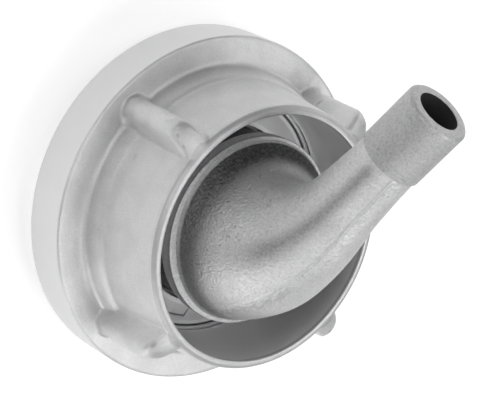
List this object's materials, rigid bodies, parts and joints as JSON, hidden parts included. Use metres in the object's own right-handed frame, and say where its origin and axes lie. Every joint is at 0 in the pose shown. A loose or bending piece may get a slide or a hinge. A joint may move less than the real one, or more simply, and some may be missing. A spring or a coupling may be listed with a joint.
{
  "type": "quarter turn fire hose coupling",
  "caption": "Cast lug coupling ring that swivels on an angled, narrowing pipe tail with a plain nozzle end, held by split half rings and a spring wire.",
  "frame": {"origin": "on the coupling axis, in the plane of the feet of the two lugs", "axes": "+Z along the coupling axis from the lugs towards the pipe tail; the lugs stand on the Y axis"},
  "size_m": [0.098, 0.1006, 0.0971],
  "materials": {
    "ring_casting": "fine blasted casting, satin",
    "tail_casting": "rough sand casting",
    "retainer": "blasted casting, satin",
    "spring_wire": "drawn wire",
    "gasket_rubber": "moulded, matt"
  },
  "bodies": {
    "ring": {"lug_ring": "ring_casting", "half_ring_1": "retainer", "half_ring_2": "retainer", "snap_ring": "spring_wire"},
    "tail": {"elbow_tail": "tail_casting", "gasket": "gasket_rubber"}
  },
  "joints": [
    {"name": "tail_swivel", "type": "hinge", "parent": "ring", "child": "tail", "pos_m": [0, 0, 0.018], "axis": [0, 0, 1], "continuous": true}
  ]
}
